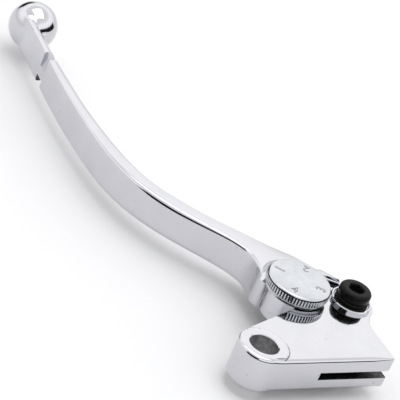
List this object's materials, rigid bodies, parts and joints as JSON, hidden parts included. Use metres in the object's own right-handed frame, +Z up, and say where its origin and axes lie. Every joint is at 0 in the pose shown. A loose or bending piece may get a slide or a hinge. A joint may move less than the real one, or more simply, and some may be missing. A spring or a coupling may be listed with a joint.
{
  "type": "motorcycle clutch lever",
  "caption": "Polished aluminium cable-clutch lever with a ball end, breakaway notch and numbered reach dial.",
  "frame": {"origin": "axis of the perch pivot bore, level with the top face of the carrier's plate", "axes": "+X from the bore along the blade to the ball end, +Y towards the rider and the grip, +Z up along the bore"},
  "size_m": [0.2077, 0.068, 0.0227],
  "materials": {
    "polished_aluminium": "polished",
    "satin_chrome": "satin top, knurled rim",
    "blackened_steel": "semi-gloss black",
    "steel": "ground",
    "zinc_plate": "zinc plated",
    "bronze": "sintered bronze",
    "nitrile_rubber": "matte"
  },
  "bodies": {
    "carrier_body": {"carrier": "polished_aluminium", "hinge_screw": "blackened_steel", "screw_collar": "blackened_steel", "hinge_spring": "steel", "hinge_nut": "zinc_plate", "detent_spring": "steel", "spindle_washer": "steel"},
    "blade_body": {"blade": "polished_aluminium", "hinge_bush": "bronze", "thrust_washer": "steel", "cam_pin": "steel"},
    "dial_body": {"dial": "satin_chrome", "cam_spindle": "steel", "spindle_o_ring": "nitrile_rubber", "spindle_circlip": "steel"},
    "detent_body": {"detent_ball": "steel"}
  },
  "joints": [
    {"name": "blade_reach", "type": "hinge", "parent": "carrier_body", "child": "blade_body", "pos_m": [0.0209, -0.047, 0], "axis": [0, 0, 1], "range_deg": [0, 6.6]},
    {"name": "dial_turn", "type": "hinge", "parent": "carrier_body", "child": "dial_body", "pos_m": [0.027, -0.0274, 0], "axis": [0, 0, 1], "range_deg": [0, 270]},
    {"name": "detent_click", "type": "slide", "parent": "carrier_body", "child": "detent_body", "axis": [0, 0, -1], "range_m": [0, 0.0004], "stiffness_N_per_m": 1500, "springref_m": -0.001, "deforming": ["detent_spring"]}
  ],
  "couplings": [
    {"joint": "dial_turn", "follows": "blade_reach", "ratio": 40.9}
  ]
}
